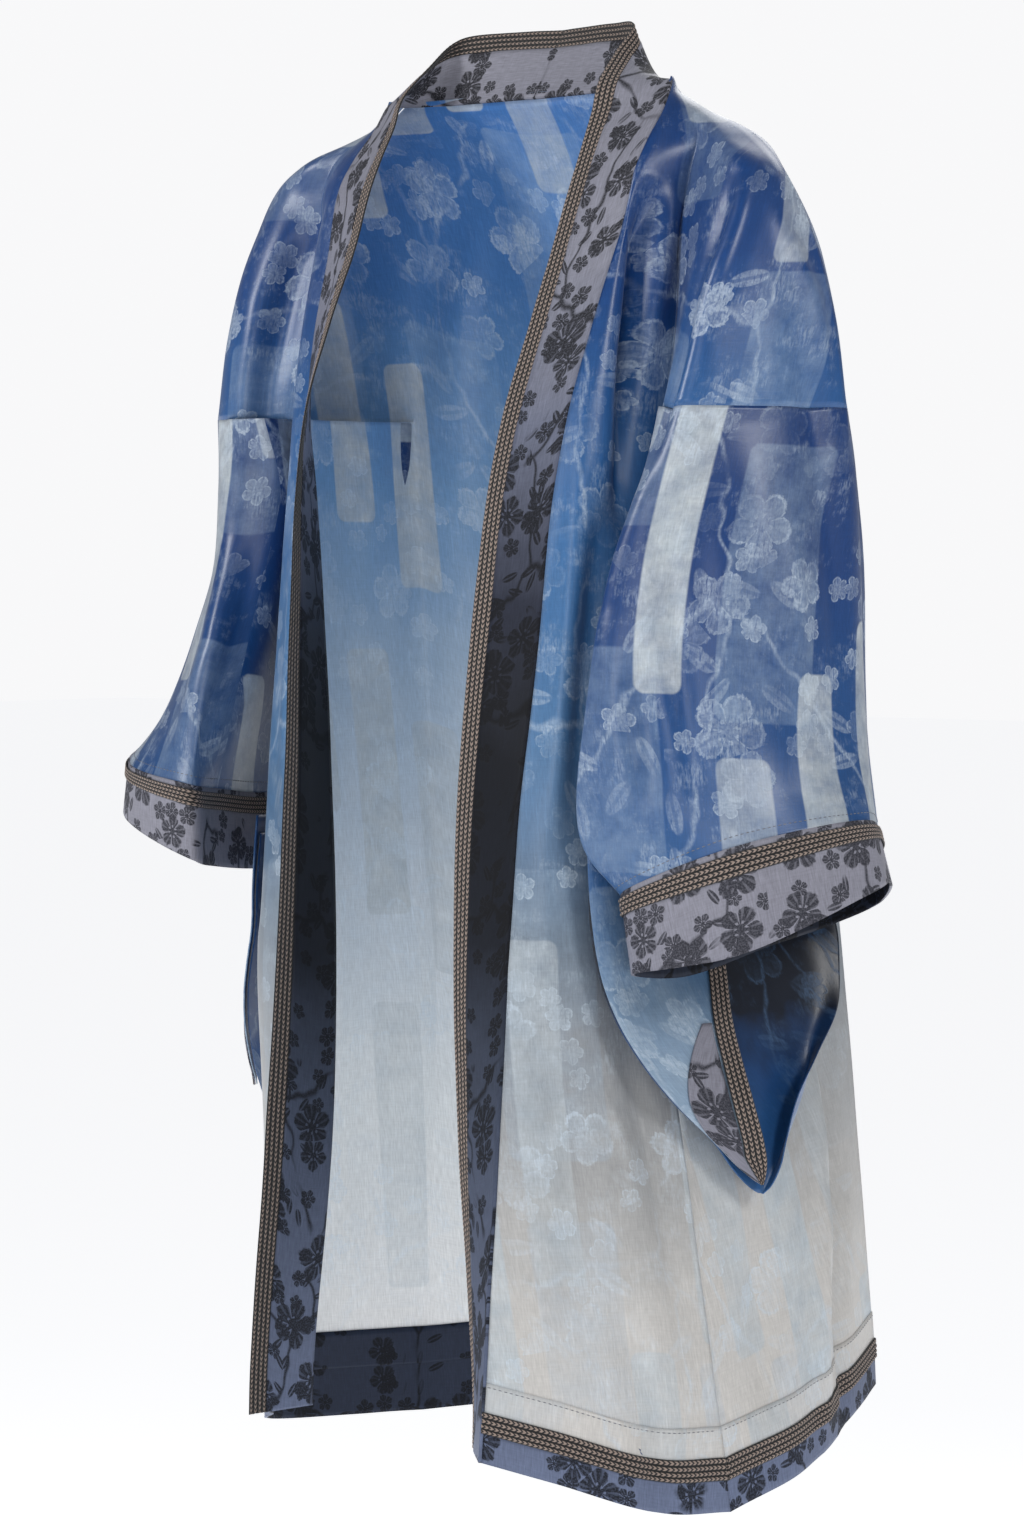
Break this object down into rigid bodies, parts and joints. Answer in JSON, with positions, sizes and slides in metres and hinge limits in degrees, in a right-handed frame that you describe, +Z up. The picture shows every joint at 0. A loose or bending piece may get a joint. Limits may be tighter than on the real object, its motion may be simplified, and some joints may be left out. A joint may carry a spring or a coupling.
{
  "type": "kimono jacket",
  "caption": "Open-fronted kimono jacket of printed silk with wide sleeves, hanging sleeve drops and braid-edged bands, filled out as worn with no wearer.",
  "frame": {"origin": "middle of the wearer's shoulder line at the side of the neck's height, where the jacket hangs", "axes": "+Z up, +X towards the wearer's left, -Y towards the front"},
  "size_m": [0.5864, 0.3729, 0.9204],
  "materials": {
    "printed_silk": "satin jacquard, deep blue to pale silver grey",
    "grey_jacquard": "satin jacquard with charcoal blossom sprays",
    "braid": "flat plait of beige and black cords"
  },
  "bodies": {
    "root": {"front_left": "printed_silk", "sleeve_left": "printed_silk", "cuff_left": "grey_jacquard", "cuff_braid_left": "braid", "neckband_left": "grey_jacquard", "neck_braid_left": "braid", "hem_band_left": "grey_jacquard", "hem_braid_left": "braid", "drop_front_left": "printed_silk", "drop_back_left": "printed_silk", "drop_band_left": "grey_jacquard", "drop_braid_left": "braid", "front_right": "printed_silk", "sleeve_right": "printed_silk", "cuff_right": "grey_jacquard", "cuff_braid_right": "braid", "neckband_right": "grey_jacquard", "neck_braid_right": "braid", "hem_band_right": "grey_jacquard", "hem_braid_right": "braid", "drop_front_right": "printed_silk", "drop_back_right": "printed_silk", "drop_band_right": "grey_jacquard", "drop_braid_right": "braid", "back": "printed_silk", "hem_band_back": "grey_jacquard", "hem_braid_back": "braid"}
  },
  "joints": []
}
